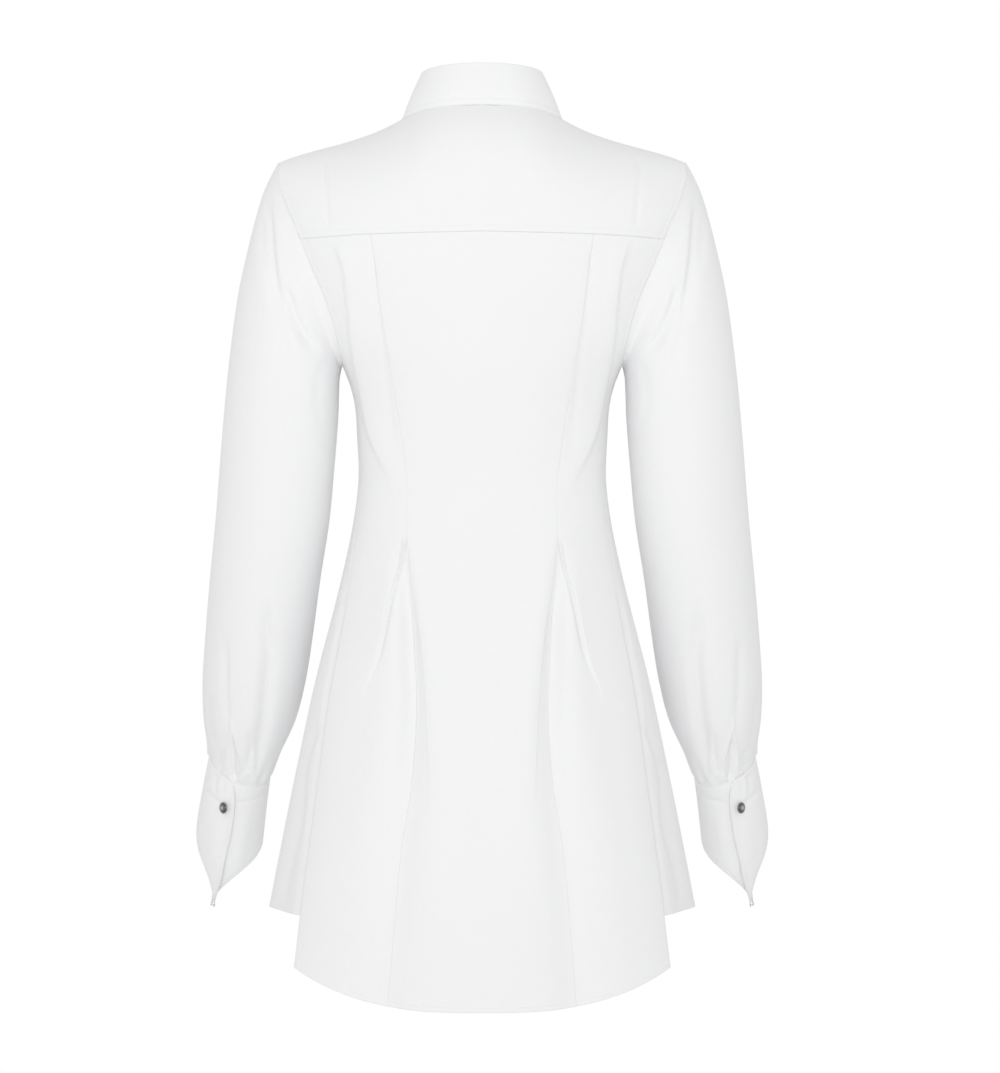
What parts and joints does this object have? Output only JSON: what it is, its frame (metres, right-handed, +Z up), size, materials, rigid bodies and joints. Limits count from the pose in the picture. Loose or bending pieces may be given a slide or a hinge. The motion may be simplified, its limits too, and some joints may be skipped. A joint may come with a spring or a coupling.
{
  "type": "shirt dress",
  "caption": "Fitted white shirt dress with fold-over collar, yoke, full gathered sleeves, deep pointed cuffs, released back pleats and a long curved back tail.",
  "frame": {"origin": "midway between the two side neck points, where the shoulders carry the dress", "axes": "+Z up, the front faces -Y, +X is the wearer's left"},
  "size_m": [0.5496, 0.3269, 0.9066],
  "materials": {
    "cotton": "plain-woven white cotton, matt with a faint sheen",
    "cotton_doubled": "the same cotton, doubled and stiffened, edge-stitched",
    "gunmetal": "dark polished metal"
  },
  "bodies": {
    "root": {"back_centre": "cotton", "back_side_left": "cotton", "back_side_right": "cotton", "button_band": "cotton_doubled", "collar": "cotton_doubled", "collar_button": "gunmetal", "collar_stand": "cotton_doubled", "cuff_button_left": "gunmetal", "cuff_button_right": "gunmetal", "cuff_left": "cotton_doubled", "cuff_right": "cotton_doubled", "front_button_1": "gunmetal", "front_button_2": "gunmetal", "front_button_3": "gunmetal", "front_button_4": "gunmetal", "front_button_5": "gunmetal", "front_button_6": "gunmetal", "front_button_7": "gunmetal", "front_left": "cotton", "front_right": "cotton", "sleeve_left": "cotton", "sleeve_right": "cotton", "yoke": "cotton"}
  },
  "joints": []
}
